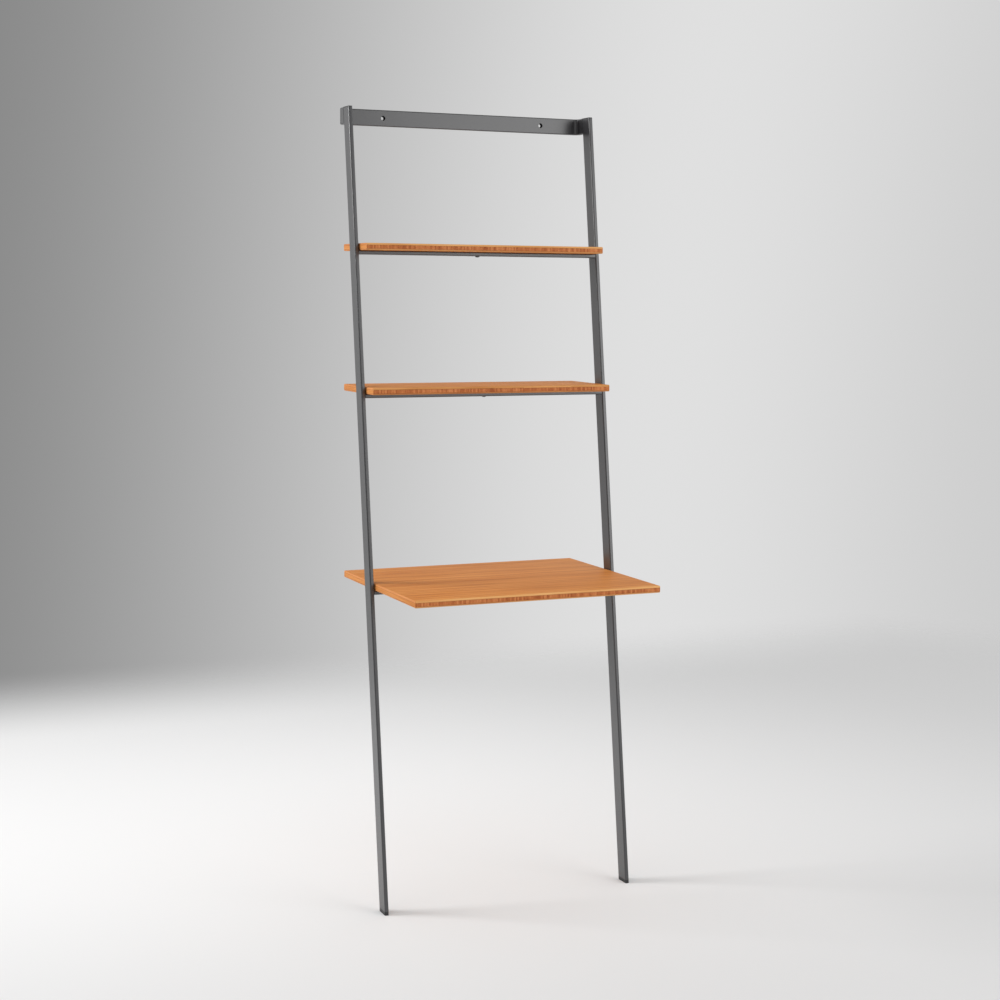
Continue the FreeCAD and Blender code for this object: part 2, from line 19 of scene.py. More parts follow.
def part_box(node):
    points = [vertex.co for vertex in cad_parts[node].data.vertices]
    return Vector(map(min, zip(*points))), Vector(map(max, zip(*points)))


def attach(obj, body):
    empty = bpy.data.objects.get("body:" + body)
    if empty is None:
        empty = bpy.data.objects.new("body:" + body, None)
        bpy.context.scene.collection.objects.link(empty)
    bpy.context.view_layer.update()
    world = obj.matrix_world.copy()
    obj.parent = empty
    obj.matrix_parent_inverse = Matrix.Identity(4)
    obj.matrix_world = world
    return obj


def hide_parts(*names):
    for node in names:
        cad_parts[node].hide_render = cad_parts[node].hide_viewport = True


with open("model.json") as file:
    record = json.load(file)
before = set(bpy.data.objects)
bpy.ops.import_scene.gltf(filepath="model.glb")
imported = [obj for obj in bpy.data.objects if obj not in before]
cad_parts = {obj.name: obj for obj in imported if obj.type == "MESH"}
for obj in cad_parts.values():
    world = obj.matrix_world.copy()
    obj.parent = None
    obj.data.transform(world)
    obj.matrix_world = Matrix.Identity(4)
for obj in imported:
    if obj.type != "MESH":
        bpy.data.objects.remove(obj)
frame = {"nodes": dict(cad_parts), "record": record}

log = logging.getLogger("ladder_desk")

BODY = "root"
SHELVES = ("top_shelf", "middle_shelf", "desk")
TOUCH = 1e-6
SMOOTH_ANGLE = radians(30)
WHITE = (1.0, 1.0, 1.0, 1.0)
LAMP_POWER = 4.0    # watts that one square metre of lamp takes for a radiance of 1

Triple = tuple[float, float, float]
Value = Union[float, bpy.types.NodeSocket]


class Slot(Enum):
    """Material slots of the record."""

    STEEL = "frame_steel"
    BAMBOO = "bamboo_ply"
    PLASTIC = "cap_plastic"
    RUBBER = "foot_rubber"
    SCREW = "screw_steel"
    BRASS = "insert_brass"


class Grain(Enum):
    """The way that a layer of bamboo runs, as the places of (along, across, deep) in (x, y, z)."""

    LEFT_TO_RIGHT = (0, 1, 2)
    FRONT_TO_BACK = (1, 0, 2)


class Cut(Enum):
    """The ways in which a board shows its bamboo, each with a finish of its own."""

    FACE = "face"                # the top and the bottom
    # Upper side: lighter than the face, a painted highlight on the rounded top edge over the
    # layer's own grain.
    UPPER_SIDE = "upper_side"    # the upper layer, in front and behind
    # Lower side: darker than the upper layer, painted shade over the layer's own grain.
    LOWER_SIDE = "lower_side"    # the lower layer, in front and behind
    LAYER_END = "layer_end"      # both of these layers, at the left and the right
    CORE_END = "core_end"        # the middle layer, in front and behind
    # Core side: the core's own long grain, dimmed as painted shade to offset the bright left lamp.
    CORE_SIDE = "core_side"      # the middle layer, at the left and the right
    GLUE_LINE = "glue_line"      # the grooves where two layers meet


class Curve(Enum):
    """How a colour goes from one stop to the next."""

    STRAIGHT = "LINEAR"
    SMOOTH = "B_SPLINE"


# Modelling


def select_only(piece: bpy.types.Object) -> None:
    """Leaves one piece as the only selected object and the active one.

    Args:
        piece: The object to select, in object mode.
    """
    bpy.ops.object.select_all(action="DESELECT")
    piece.select_set(True)
    bpy.context.view_layer.objects.active = piece


def add_block(name: str, low: Vector, high: Vector) -> bpy.types.Object:
    """Adds a block that fills a box, with its place in its mesh.

    Args:
        name: The new object's name.
        low: The box's lowest corner.
        high: The box's highest corner.

    Returns:
        The block, selected and active.
    """
    bpy.ops.mesh.primitive_cube_add(size=1, location=(low + high) / 2, scale=high - low)
    block = bpy.context.object
    block.name = block.data.name = name
    bpy.ops.object.transform_apply(location=True, rotation=True, scale=True)
    return block


@contextmanager
def editing(piece: bpy.types.Object) -> Iterator[None]:
    """Holds one piece alone in edit mode.

    Args:
        piece: The mesh object to edit.

    Yields:
        Nothing; the piece is in edit mode inside the block.
    """
    select_only(piece)
    bpy.ops.object.mode_set(mode="EDIT")
    try:
        yield
    finally:
        bpy.ops.object.mode_set(mode="OBJECT")


def select_whole() -> None:
    """Selects, in edit mode, the whole of what is edited."""
    bpy.ops.mesh.select_mode(type="FACE")
    bpy.ops.mesh.select_all(action="SELECT")


def select_points(piece: bpy.types.Object, wanted: Callable[[bmesh.types.BMVert], bool]) -> None:
    """Selects, in edit mode, the points that pass a test, and nothing else.

    Args:
        piece: The mesh object being edited.
        wanted: The test.
    """
    bpy.ops.mesh.select_mode(type="VERT")
    bpy.ops.mesh.select_all(action="DESELECT")
    for point in bmesh.from_edit_mesh(piece.data).verts:
        if wanted(point):
            point.select_set(True)
    bmesh.update_edit_mesh(piece.data)


def finish_piece(piece: bpy.types.Object, slot: Slot, *nodes: str) -> None:
    """Smooths a piece, lets it ride on the desk and hides the CAD nodes that it stands for.

    Args:
        piece: The finished mesh object.
        slot: The record's material slot of the piece; not used.
        nodes: The CAD nodes that it stands for.
    """
    select_only(piece)
    bpy.ops.object.shade_smooth_by_angle(angle=SMOOTH_ANGLE, keep_sharp_edges=True)
    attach(piece, BODY)
    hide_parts(*nodes)
    log.info("%s: %d faces", piece.name, len(piece.data.polygons))


def loose_boxes(node: str) -> list[tuple[Vector, Vector]]:
    """Finds each separate solid of a CAD node.

    Args:
        node: The CAD node's name.

    Returns:
        The lowest and highest corner of each solid.
    """
    mesh = bmesh.new()
    mesh.from_mesh(frame["nodes"][node].data)
    bmesh.ops.remove_doubles(mesh, verts=mesh.verts, dist=TOUCH)
    waiting = set(mesh.verts)
    boxes = []
    while waiting:
        front = [waiting.pop()]
        solid = list(front)
        while front:
            near = {edge.other_vert(point) for point in front for edge in point.link_edges}
            front = list(near & waiting)
            waiting -= near
            solid += front
        places = [point.co for point in solid]
        low = Vector(min(place[axis] for place in places) for axis in range(3))
        high = Vector(max(place[axis] for place in places) for axis in range(3))
        boxes.append((low, high))
    mesh.free()
    return boxes


# Node trees


@dataclass(frozen=True)
class Pattern:
    """Soft noise over a piece's own place.

    Attributes:
        density: How many grains there are in a metre, along each of three ways.
        detail: How many finer layers it has.
        shift: How far it is moved, so that two patterns differ.
    """

    density: Triple
    detail: float = 2.0
    shift: float = 0.0


@dataclass(frozen=True)
class Relief:
    """Fine relief in a surface.

    Attributes:
        depth: How deep the lowest places lie under the highest.
        strength: How much of it shows.
    """

    depth: float
    strength: float


class Graph:
    """A node tree that grows one node at a time."""

    def __init__(self, tree: bpy.types.NodeTree) -> None:
        """Takes a node tree over."""
        self.tree = tree

    def add(self, kind: str, **settings: object) -> bpy.types.Node:
        """Adds a node.

        Args:
            kind: The node's type.
            settings: Its properties and their values.

        Returns:
            The new node.
        """
        node = self.tree.nodes.new(kind)
        for name, value in settings.items():
            setattr(node, name, value)
        return node

    def feed(self, socket: bpy.types.NodeSocket, value: object) -> None:
        """Joins a socket to another socket, or sets it to a plain value.

        Args:
            socket: The input.
            value: The output or the value that it takes.
        """
        if isinstance(value, bpy.types.NodeSocket):
            self.tree.links.new(value, socket)
        else:
            socket.default_value = value

    def number(self, operation: str, *values: Value) -> bpy.types.NodeSocket:
        """Works out one number from others.

        Args:
            operation: The Math node's operation.
            values: Its inputs, as sockets or numbers.

        Returns:
            The socket that holds the result.
        """
        node = self.add("ShaderNodeMath", operation=operation)
        for socket, value in zip(node.inputs, values):
            self.feed(socket, value)
        return node.outputs[0]

    def vector(self, operation: str, *values: object,
               result: str = "Vector") -> bpy.types.NodeSocket:
        """Works out one vector, or one number, from vectors.

        Args:
            operation: The Vector Math node's operation.
            values: Its inputs, as sockets or triples.
            result: Which of its outputs to take, Vector or Value.

        Returns:
            The socket that holds the result.
        """
        node = self.add("ShaderNodeVectorMath", operation=operation)
        for socket, value in zip(node.inputs, values):
            self.feed(socket, value)
        return node.outputs[result]

    def split(self, vector: bpy.types.NodeSocket) -> list[bpy.types.NodeSocket]:
        """Gives a vector's x, y and z.

        Args:
            vector: The socket that holds the vector.

        Returns:
            A socket for each of the three.
        """
        node = self.add("ShaderNodeSeparateXYZ")
        self.feed(node.inputs[0], vector)
        return list(node.outputs)

    def swing(self, value: Value, middle: float, reach: float) -> bpy.types.NodeSocket:
        """Turns 0 to 1 into middle - reach to middle + reach."""
        return self.number("MULTIPLY_ADD", value, 2 * reach, middle - reach)

    def ease(self, value: Value, span: tuple[float, float],
             result: tuple[float, float]) -> bpy.types.NodeSocket:
        """Goes softly from one number to another.

        Args:
            value: What it depends on.
            span: Where value starts to count, and where it stops.
            result: The number at the start and at the end of the span.

        Returns:
            The socket that holds the number.
        """
        node = self.add("ShaderNodeMapRange", interpolation_type="SMOOTHSTEP")
        self.feed(node.inputs["Value"], value)
        for name, limit in zip(("From Min", "From Max", "To Min", "To Max"), (*span, *result)):
            node.inputs[name].default_value = limit
        return node.outputs["Result"]

    def blend(self, share: Value, stops: Sequence[tuple[float, Triple]],
              curve: Curve = Curve.STRAIGHT) -> bpy.types.NodeSocket:
        """Turns a number into a colour.

        Args:
            share: The number.
            stops: Each stop's place from 0 to 1 and its colour.
            curve: How the colour goes from stop to stop.

        Returns:
            The socket that holds the colour.
        """
        ramp = self.add("ShaderNodeValToRGB")
        ramp.color_ramp.interpolation = curve.value
        while len(ramp.color_ramp.elements) < len(stops):
            ramp.color_ramp.elements.new(1.0)
        for element, (place, colour) in zip(ramp.color_ramp.elements, stops):
            element.position = place
            element.color = (*colour, 1.0)
        self.feed(ramp.inputs["Fac"], share)
        return ramp.outputs["Color"]


class Shading(Graph):
    """A new material's nodes round one shader."""

    def __init__(self, name: str) -> None:
        """Starts a material that holds only a shader and its output.

        Args:
            name: The material's name.
        """
        self.material = bpy.data.materials.new(name)
        self.material.use_nodes = True
        super().__init__(self.material.node_tree)
        self.shader = self.tree.nodes["Principled BSDF"]
        self.place = self.add("ShaderNodeTexCoord").outputs["Object"]

    def set(self, **values: object) -> None:
        """Feeds the shader's own sockets.

        Args:
            values: What each socket takes, under its name with _ for a space.
        """
        for name, value in values.items():
            title = name.replace("_", " ").title().replace("Ior", "IOR")
            self.feed(self.shader.inputs[title], value)

    def noise(self, pattern: Pattern) -> bpy.types.NodeSocket:
        """Adds soft noise over the piece's own place.

        Args:
            pattern: The noise, with its densities along x, y and z.

        Returns:
            The socket that holds the noise, about 0.5 on average.
        """
        mapping = self.add("ShaderNodeMapping")
        self.feed(mapping.inputs["Vector"], self.place)
        mapping.inputs["Scale"].default_value = pattern.density
        mapping.inputs["Location"].default_value = (pattern.shift,) * 3
        noise = self.add("ShaderNodeTexNoise")
        self.feed(noise.inputs["Vector"], mapping.outputs["Vector"])
        noise.inputs["Scale"].default_value = 1.0
        noise.inputs["Detail"].default_value = pattern.detail
        return noise.outputs["Fac"]

    def chance(self, number: Value) -> bpy.types.NodeSocket:
        """Gives each whole number a value of its own.

        Args:
            number: The whole number.

        Returns:
            The socket that holds its value, from 0 to 1.
        """
        node = self.add("ShaderNodeTexWhiteNoise", noise_dimensions="1D")
        self.feed(node.inputs["W"], number)
        return node.outputs["Value"]

    def raised(self, height: Value, relief: Relief) -> bpy.types.NodeSocket:
        """Adds fine relief to the surface.

        Args:
            height: The height from 0 to 1.
            relief: How deep 0 lies under 1, and how much of it shows.

        Returns:
            The socket that holds the bent normal.
        """
        bump = self.add("ShaderNodeBump")
        bump.inputs["Strength"].default_value = relief.strength
        bump.inputs["Distance"].default_value = relief.depth
        self.feed(bump.inputs["Height"], height)
        return bump.outputs["Normal"]


# Finishes


@dataclass(frozen=True)
class Bamboo:
    """Lacquered caramel bamboo, glued up from thin staves that run one way.

    Its patterns' densities are along, across and deep in the grain. A contrast is a share of the
    way from dark to light.
    """

    cut: Cut
    grain: Grain
    dark: Triple
    middle: Triple
    light: Triple
    stave: float = 0.0075
    stave_waver: float = 0.3
    stave_contrast: float = 0.42
    fibre_contrast: float = 0.55
    thread_contrast: float = 0.12
    streak_contrast: float = 0.55
    cloud_contrast: float = 0.22
    knuckle_spacing: float = 0.29
    knuckle_scatter: float = 37.0
    knuckle_length: float = 0.0022
    knuckle_softness: float = 0.4
    knuckle_contrast: float = 0.16
    joint: float = 0.045
    joint_contrast: float = 0.10
    joint_depth: float = 0.6
    roughness: float = 0.52
    roughness_swing: float = 0.10
    shine: float = 0.12
    relief: Relief = Relief(0.00006, 0.55)
    waver: Pattern = Pattern((3, 0, 0), 1.0)
    fibres: Pattern = Pattern((9, 950, 950), 4.0)
    threads: Pattern = Pattern((30, 3200, 3200), shift=7.0)
    streaks: Pattern = Pattern((7, 120, 120), 3.0, shift=5.0)
    clouds: Pattern = Pattern((2.2, 14, 14), shift=3.0)

    def laid(self, pattern: Pattern) -> Pattern:
        """Lays a pattern along the grain.

        Args:
            pattern: A pattern with its densities along, across and deep in the grain.

        Returns:
            The same pattern with its densities along x, y and z.
        """
        density = [0.0, 0.0, 0.0]
        for axis, grains in zip(self.grain.value, pattern.density):
            density[axis] = grains
        return replace(pattern, density=tuple(density))

    def knuckles(self, shading: Shading, along: Value, tone: Value) -> bpy.types.NodeSocket:
        """Darkens each stave at its knuckles, which lie elsewhere on each stave.

        Args:
            shading: The material's shading.
            along: The place along the grain.
            tone: The stave's own number from 0 to 1.

        Returns:
            The socket that holds what the knuckles take from the tone.
        """
        start = shading.number("MULTIPLY_ADD", tone, self.knuckle_scatter,
                               shading.number("DIVIDE", along, self.knuckle_spacing))
        away = shading.number("ABSOLUTE", shading.number(
            "SUBTRACT", shading.number("FRACT", start), 0.5))
        away = shading.number("DIVIDE", away, self.knuckle_length / self.knuckle_spacing)
        clear = shading.number("SMOOTH_MIN", away, 1.0, self.knuckle_softness)
        return shading.number("MULTIPLY_ADD", clear, self.knuckle_contrast, -self.knuckle_contrast)

    def material(self) -> bpy.types.Material:
        """Makes the material.

        Returns:
            Staves of uneven tone with fine fibres, faint knuckles and thin glue joints.
        """
        shading = Shading(f"bamboo_{self.cut.value}")
        place = shading.split(shading.place)
        along, across = (place[axis] for axis in self.grain.value[:2])
        stave = shading.number("MULTIPLY_ADD", shading.noise(self.laid(self.waver)),
                               self.stave_waver, shading.number("DIVIDE", across, self.stave))
        tone = shading.chance(shading.number("FLOOR", stave))
        off_middle = shading.number("ABSOLUTE", shading.number(
            "SUBTRACT", shading.number("FRACT", stave), 0.5))
        joint = shading.number("GREATER_THAN", off_middle, 0.5 - self.joint / 2)
        fibres = shading.noise(self.laid(self.fibres))

        share = shading.swing(tone, 0.5, self.stave_contrast / 2)
        for noise, contrast in (
                (fibres, self.fibre_contrast),
                (shading.noise(self.laid(self.threads)), self.thread_contrast),
                (shading.noise(self.laid(self.streaks)), self.streak_contrast),
                (shading.noise(self.laid(self.clouds)), self.cloud_contrast)):
            share = shading.number("ADD", share, shading.swing(noise, 0.0, contrast))
        share = shading.number("ADD", share, self.knuckles(shading, along, tone))
        share = shading.number("MULTIPLY_ADD", joint, -self.joint_contrast, share)
        height = shading.number("MULTIPLY_ADD", joint, -self.joint_depth, fibres)

        shading.set(
            base_color=shading.blend(
                share, [(0.0, self.dark), (0.5, self.middle), (1.0, self.light)]),
            roughness=shading.swing(fibres, self.roughness, self.roughness_swing),
            normal=shading.raised(height, self.relief),
            specular_ior_level=self.shine,
        )
        return shading.material


@dataclass(frozen=True)
class PowderCoat:
    """Satin graphite powder coat, with the fine orange peel of a baked coat."""

    name: str = "graphite_powder_coat"
    dark: Triple = (0.018, 0.018, 0.020)
    light: Triple = (0.026, 0.026, 0.029)
    stops: tuple[float, float] = (0.35, 0.9)
    roughness: float = 0.30
    roughness_swing: float = 0.07
    shine: float = 1.0
    gloss: float = 0.335
    peel: Pattern = Pattern((620, 620, 620))
    grit: Pattern = Pattern((2600, 2600, 2600), 1.0, shift=5.0)
    clouds: Pattern = Pattern((7, 7, 7), 3.0, shift=2.0)
    grit_height: float = 0.25
    grit_contrast: float = 0.3
    relief: Relief = Relief(0.00005, 0.5)

    def material(self) -> bpy.types.Material:
        """Makes the material.

        Returns:
            Dark, faintly clouded grey under a soft gloss.
        """
        shading = Shading(self.name)
        peel, grit, clouds = map(shading.noise, (self.peel, self.grit, self.clouds))
        tint = shading.number("MULTIPLY_ADD", grit, self.grit_contrast, clouds)
        height = shading.number("MULTIPLY_ADD", grit, self.grit_height, peel)
        shading.set(
            base_color=shading.blend(tint, list(zip(self.stops, (self.dark, self.light)))),
            roughness=shading.swing(peel, self.roughness, self.roughness_swing),
            specular_ior_level=self.shine,
            coat_weight=self.gloss,
            coat_roughness=self.roughness,
            normal=shading.raised(height, self.relief),
        )
        return shading.material


@dataclass(frozen=True)
class PlainFinish:
    """A finish of two close colours, with fine marks in its surface."""

    name: str
    dark: Triple
    light: Triple
    stops: tuple[float, float]
    tint: Pattern
    marks: Pattern
    roughness: float
    roughness_swing: float
    relief: Relief
    metallic: float = 0.0

    def material(self) -> bpy.types.Material:
        """Makes the material.

        Returns:
            The two colours in clouds, under the marks.
        """
        shading = Shading(self.name)
        tint, marks = map(shading.noise, (self.tint, self.marks))
        shading.set(
            base_color=shading.blend(tint, list(zip(self.stops, (self.dark, self.light)))),
            metallic=self.metallic,
            roughness=shading.swing(marks, self.roughness, self.roughness_swing),
            normal=shading.raised(marks, self.relief),
        )
        return shading.material


@dataclass(frozen=True)
class TurnedBrass:
    """Plain turned brass with fine rings round its axis."""

    name: str = "turned_brass"
    dark: Triple = (0.52, 0.36, 0.14)
    light: Triple = (0.74, 0.56, 0.27)
    stops: tuple[float, float] = (0.3, 0.75)
    roughness: float = 0.30
    roughness_swing: float = 0.08
    tarnish: Pattern = Pattern((420, 420, 420), 3.0)
    ring: float = 0.00025
    ring_height: float = 0.25
    relief: Relief = Relief(0.00002, 0.6)

    def material(self) -> bpy.types.Material:
        """Makes the material.

        Returns:
            Lightly tarnished brass with a ring at each turn of the tool.
        """
        shading = Shading(self.name)
        turn = shading.number("MULTIPLY", shading.split(shading.place)[2], 2 * pi / self.ring)
        rings = shading.swing(shading.number("SINE", turn), 0.5, self.ring_height)
        tarnish = shading.noise(self.tarnish)
        shading.set(
            base_color=shading.blend(tarnish, list(zip(self.stops, (self.dark, self.light)))),
            metallic=1.0,
            roughness=shading.swing(tarnish, self.roughness, self.roughness_swing),
            normal=shading.raised(rings, self.relief),
        )
        return shading.material


# The outer layers run from left to right and the core from front to back. The ends of the outer
# layers are laid from front to back as well, so that their thin strips show long fibres.
BAMBOO = (
    Bamboo(Cut.FACE, Grain.LEFT_TO_RIGHT,
           (0.50, 0.155, 0.025), (0.675, 0.25, 0.052), (0.80, 0.35, 0.095)),
    # The upper layer's own grain, made lighter as a painted highlight for its rounded top edge.
    Bamboo(Cut.UPPER_SIDE, Grain.LEFT_TO_RIGHT,
           (0.56, 0.23, 0.065), (0.76, 0.37, 0.125), (0.86, 0.49, 0.195)),
    # The lower layer's own grain, made darker as painted shade under the board's front and back.
    Bamboo(Cut.LOWER_SIDE, Grain.LEFT_TO_RIGHT,
           (0.42, 0.145, 0.042), (0.58, 0.25, 0.08), (0.70, 0.35, 0.125)),
    Bamboo(Cut.LAYER_END, Grain.FRONT_TO_BACK,
           (0.50, 0.165, 0.042), (0.66, 0.265, 0.085), (0.78, 0.37, 0.135)),
    Bamboo(Cut.CORE_END, Grain.FRONT_TO_BACK,
           (0.265, 0.057, 0.015), (0.515, 0.163, 0.048), (0.72, 0.29, 0.108),
           stave=0.0036, stave_contrast=0.5, fibre_contrast=0.75, streak_contrast=0.3),
    # The core's own long grain at the ends, its colour dimmed as painted shade to offset the left
    # lamp.
    Bamboo(Cut.CORE_SIDE, Grain.FRONT_TO_BACK,
           (0.47, 0.155, 0.033), (0.63, 0.25, 0.067), (0.75, 0.34, 0.110)),
    Bamboo(Cut.GLUE_LINE, Grain.LEFT_TO_RIGHT,
           (0.16, 0.05, 0.015), (0.24, 0.08, 0.025), (0.34, 0.12, 0.04)),
)

# Moulded plastic with a fine spark-eroded texture.
PLASTIC = PlainFinish(
    name="graphite_plastic", dark=(0.016, 0.016, 0.017), light=(0.024, 0.024, 0.025),
    stops=(0.3, 0.8), tint=Pattern((40, 40, 160), shift=4.0),
    marks=Pattern((2200, 2200, 2200), 3.0), roughness=0.45, roughness_swing=0.08,
    relief=Relief(0.00004, 0.6))

# Matt rubber with a little dust in its grain.
RUBBER = PlainFinish(
    name="black_rubber", dark=(0.012, 0.012, 0.012), light=(0.030, 0.029, 0.028),
    stops=(0.35, 0.85), tint=Pattern((60, 60, 60), 3.0, shift=6.0),
    marks=Pattern((1500, 1500, 1500), 3.0), roughness=0.80, roughness_swing=0.08,
    relief=Relief(0.00008, 0.7))

# Blackened screw steel, slightly oily, with fine tool marks.
BLACK_OXIDE = PlainFinish(
    name="black_oxide_steel", dark=(0.030, 0.030, 0.033), light=(0.065, 0.064, 0.066),
    stops=(0.3, 0.8), tint=Pattern((260, 260, 260), shift=8.0),
    marks=Pattern((900, 900, 4200), 3.0), roughness=0.38, roughness_swing=0.10,
    relief=Relief(0.00003, 0.5), metallic=0.85)


# The desk


def dress(slot: Slot, material: bpy.types.Material) -> None:
    """Gives the CAD nodes of a material slot their finish.

    Args:
        slot: The record's material slot.
        material: The finish.
    """
    for row in frame["record"]["subparts"]:
        if row["material_slot"] == slot.value:
            materials = frame["nodes"][row["node"]].data.materials
            materials.clear()
            materials.append(material)
            log.info("%s: %s", row["node"], material.name)


@dataclass
class Board:
    """A board of three bamboo layers, the middle one laid crosswise.

    Attributes:
        shelf: The name that its CAD nodes start with.
        finishes: The finish of each cut of the bamboo.
        edge_round: The radius of its edges.
        edge_steps: How many flats make up the rounding.
        layers: How thick the lower and the upper layer are.
        seam_width: How wide a glue seam is.
        seam_depth: How deep it lies.
        hole_steps: How many flats go round a hole.
        flat: How squarely a face looks up or down to count as top or bottom.
    """

    shelf: str
    finishes: dict[Cut, bpy.types.Material]
    edge_round: float = 0.0025
    edge_steps: int = 6
    layers: tuple[float, float] = (0.0031, 0.0044)
    seam_width: float = 0.00050
    seam_depth: float = 0.00010
    hole_steps: int = 48
    flat: float = 0.93
    node: str = field(init=False)

    def __post_init__(self) -> None:
        """Reads the board's box from its CAD node."""
        self.node = f"{self.shelf}_board"
        self.low, self.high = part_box(self.node)

    def build(self) -> bpy.types.Object:
        """Models the board.

        Returns:
            The board's mesh object, which stands for the CAD node.
        """
        board = add_block(f"{self.shelf}_bamboo_board", self.low, self.high)
        with editing(board):
            self.round_edges()
            for height in self.seams():
                self.cut_seam(board, height)
        self.drill(board)
        self.dress(board)
        finish_piece(board, Slot.BAMBOO, self.node)
        return board

    def seams(self) -> tuple[float, float]:
        """Gives the heights of the lower and the upper glue seam."""
        return self.low.z + self.layers[0], self.high.z - self.layers[1]

    def round_edges(self) -> None:
        """Rounds all twelve edges of the board being edited."""
        select_whole()
        bpy.ops.mesh.bevel(offset=self.edge_round, segments=self.edge_steps, affect="EDGES")

    def cut_seam(self, board: bpy.types.Object, height: float) -> None:
        """Cuts a fine groove round the board where two layers meet.

        Args:
            board: The board, in edit mode.
            height: The seam's height.
        """
        half = self.seam_width / 2
        for cut in (height - half, height, height + half):
            select_whole()
            bpy.ops.mesh.bisect(plane_co=(0, 0, cut), plane_no=(0, 0, 1))
        select_points(board, lambda point: abs(point.co.z - height) < half / 2)
        size = self.high - self.low
        shrink = [1 - 2 * self.seam_depth / size.x, 1 - 2 * self.seam_depth / size.y, 1]
        centre = (self.low + self.high) / 2
        bpy.ops.transform.resize(value=shrink, center_override=(centre.x, centre.y, height))

    def drill(self, board: bpy.types.Object) -> None:
        """Bores a blind hole for each threaded insert.

        Args:
            board: The board, in object mode.
        """
        for low, high in loose_boxes(f"{self.shelf}_inserts"):
            bpy.ops.mesh.primitive_cylinder_add(
                vertices=self.hole_steps, radius=(high.x - low.x) / 2,
                depth=2 * (high.z - low.z),
                location=((low.x + high.x) / 2, (low.y + high.y) / 2, low.z))
            drill = bpy.context.object
            select_only(board)
            hole = board.modifiers.new("hole", "BOOLEAN")
            hole.operation = "DIFFERENCE"
            hole.object = drill
            bpy.ops.object.modifier_apply(modifier=hole.name)
            bpy.data.objects.remove(drill)

    def dress(self, board: bpy.types.Object) -> None:
        """Gives each face of the board the finish of its cut.

        Args:
            board: The finished board, in object mode.
        """
        board.data.materials.clear()
        for material in self.finishes.values():
            board.data.materials.append(material)
        cuts = tuple(self.finishes)
        for face in board.data.polygons:
            face.material_index = cuts.index(self.cut_of(face))

    def cut_of(self, face: bpy.types.MeshPolygon) -> Cut:
        """Tells a face's cut by where it lies and which way it looks.

        Args:
            face: A face of the finished board.

        Returns:
            How the bamboo shows in it.
        """
        across, ahead, above = map(abs, face.normal)
        height = face.center.z
        lower, upper = self.seams()
        if above > self.flat:
            return Cut.FACE
        if min(abs(height - lower), abs(height - upper)) < self.seam_width / 2:
            return Cut.GLUE_LINE
        if lower < height < upper:
            return Cut.CORE_SIDE if across > ahead else Cut.CORE_END
        if across > ahead:
            return Cut.LAYER_END
        return Cut.UPPER_SIDE if height > upper else Cut.LOWER_SIDE


@dataclass
class SteelFrame:
    """The welded frame: two leaning legs, the bent wall bar, three crossbars and their bearers."""

    steel: bpy.types.Material

    def build(self) -> None:
        """Dresses the tubes and bars."""
        dress(Slot.STEEL, self.steel)


@dataclass
class LegEnds:
    """The caps in the tops of the legs, and the feet: a plastic cap over a rubber pad."""

    plastic: bpy.types.Material
    rubber: bpy.types.Material

    def build(self) -> None:
        """Dresses the caps and pads."""
        dress(Slot.PLASTIC, self.plastic)
        dress(Slot.RUBBER, self.rubber)


@dataclass
class Fasteners:
    """The screws under the boards and the brass inserts that they turn into."""

    oxide: bpy.types.Material
    brass: bpy.types.Material

    def build(self) -> None:
        """Dresses the screws and inserts."""
        dress(Slot.SCREW, self.oxide)
        dress(Slot.BRASS, self.brass)


# The studio


@dataclass(frozen=True)
class Softbox:
    """A soft rectangular lamp that faces a point."""

    name: str
    place: Triple
    target: Triple
    size: tuple[float, float]
    radiance: float

    def build(self) -> bpy.types.Object:
        """Hangs the lamp.

        Returns:
            The lamp.
        """
        lamp = bpy.data.lights.new(self.name, "AREA")
        lamp.shape = "RECTANGLE"
        lamp.size, lamp.size_y = self.size
        lamp.energy = LAMP_POWER * self.radiance * self.size[0] * self.size[1]
        holder = bpy.data.objects.new(self.name, lamp)
        bpy.context.scene.collection.objects.link(holder)
        holder.location = self.place
        away = Vector(self.place) - Vector(self.target)
        holder.rotation_euler = away.to_track_quat("Z", "Y").to_euler()
        log.info("%s: %.0f W", self.name, lamp.energy)
        return holder


